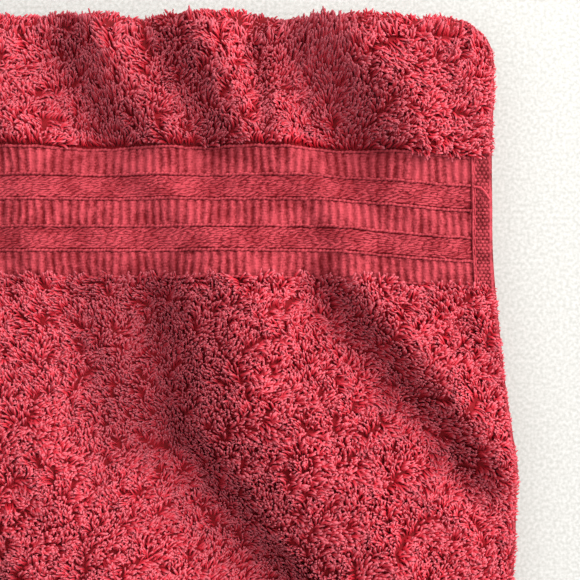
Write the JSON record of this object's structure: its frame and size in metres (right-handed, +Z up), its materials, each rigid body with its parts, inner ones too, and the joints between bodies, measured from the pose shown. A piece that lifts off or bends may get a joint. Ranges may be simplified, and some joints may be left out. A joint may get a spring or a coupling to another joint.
{
  "type": "golf towel",
  "caption": "Thick terry golf towel with a ribbed and twill woven border near each end, turned and stitched hems, folded in a zigzag of three plies.",
  "frame": {"origin": "on the surface that the folded towel rests on, under the middle of its bounding box", "axes": "+X across the towel from side hem to side hem, +Y along it towards the back bend, +Z up out of the face side of the top ply"},
  "size_m": [0.406, 0.2104, 0.0249],
  "materials": {
    "terry_pile": "soft coral red cotton loop pile, matt with a soft sheen",
    "border_rib": "coral red flat weave with raised ribs and cords, matt",
    "border_twill": "coral red twill weave, matt with a faint lustre along the yarns",
    "hem_cloth": "coral red basket weave, matt",
    "thread": "coral red polyester sewing thread, slight lustre",
    "ribbon": "off-white satin ribbon, blank"
  },
  "bodies": {
    "bottom_panel": {"bottom_terry_field": "terry_pile", "bottom_terry_strip": "terry_pile", "bottom_rib_band_1": "border_rib", "bottom_rib_band_2": "border_rib", "bottom_rib_band_3": "border_rib", "bottom_twill_band_1": "border_twill", "bottom_twill_band_2": "border_twill", "bottom_border_cords": "border_rib", "bottom_side_hem_left": "hem_cloth", "bottom_side_hem_right": "hem_cloth", "bottom_end_hem": "hem_cloth", "bottom_stitching": "thread", "front_bend": "terry_pile", "front_bend_hems": "hem_cloth"},
    "middle_panel": {"middle_terry": "terry_pile", "middle_side_hem_left": "hem_cloth", "middle_side_hem_right": "hem_cloth", "middle_stitching": "thread", "back_bend": "terry_pile", "back_bend_hems": "hem_cloth"},
    "top_panel": {"top_terry_field": "terry_pile", "top_terry_strip": "terry_pile", "top_rib_band_1": "border_rib", "top_rib_band_2": "border_rib", "top_rib_band_3": "border_rib", "top_twill_band_1": "border_twill", "top_twill_band_2": "border_twill", "top_border_cords": "border_rib", "top_side_hem_left": "hem_cloth", "top_side_hem_right": "hem_cloth", "top_end_hem": "hem_cloth", "top_stitching": "thread", "care_label": "ribbon"}
  },
  "joints": [
    {"name": "front_fold", "type": "hinge", "parent": "bottom_panel", "child": "middle_panel", "pos_m": [0, -0.1001, 0.0081], "axis": [1, 0, 0], "range_deg": [0, 179], "deforming": ["front_bend", "front_bend_hems"]},
    {"name": "back_fold", "type": "hinge", "parent": "middle_panel", "child": "top_panel", "pos_m": [0, 0.1001, 0.0168], "axis": [-1, 0, 0], "range_deg": [0, 179], "deforming": ["back_bend", "back_bend_hems"]}
  ]
}
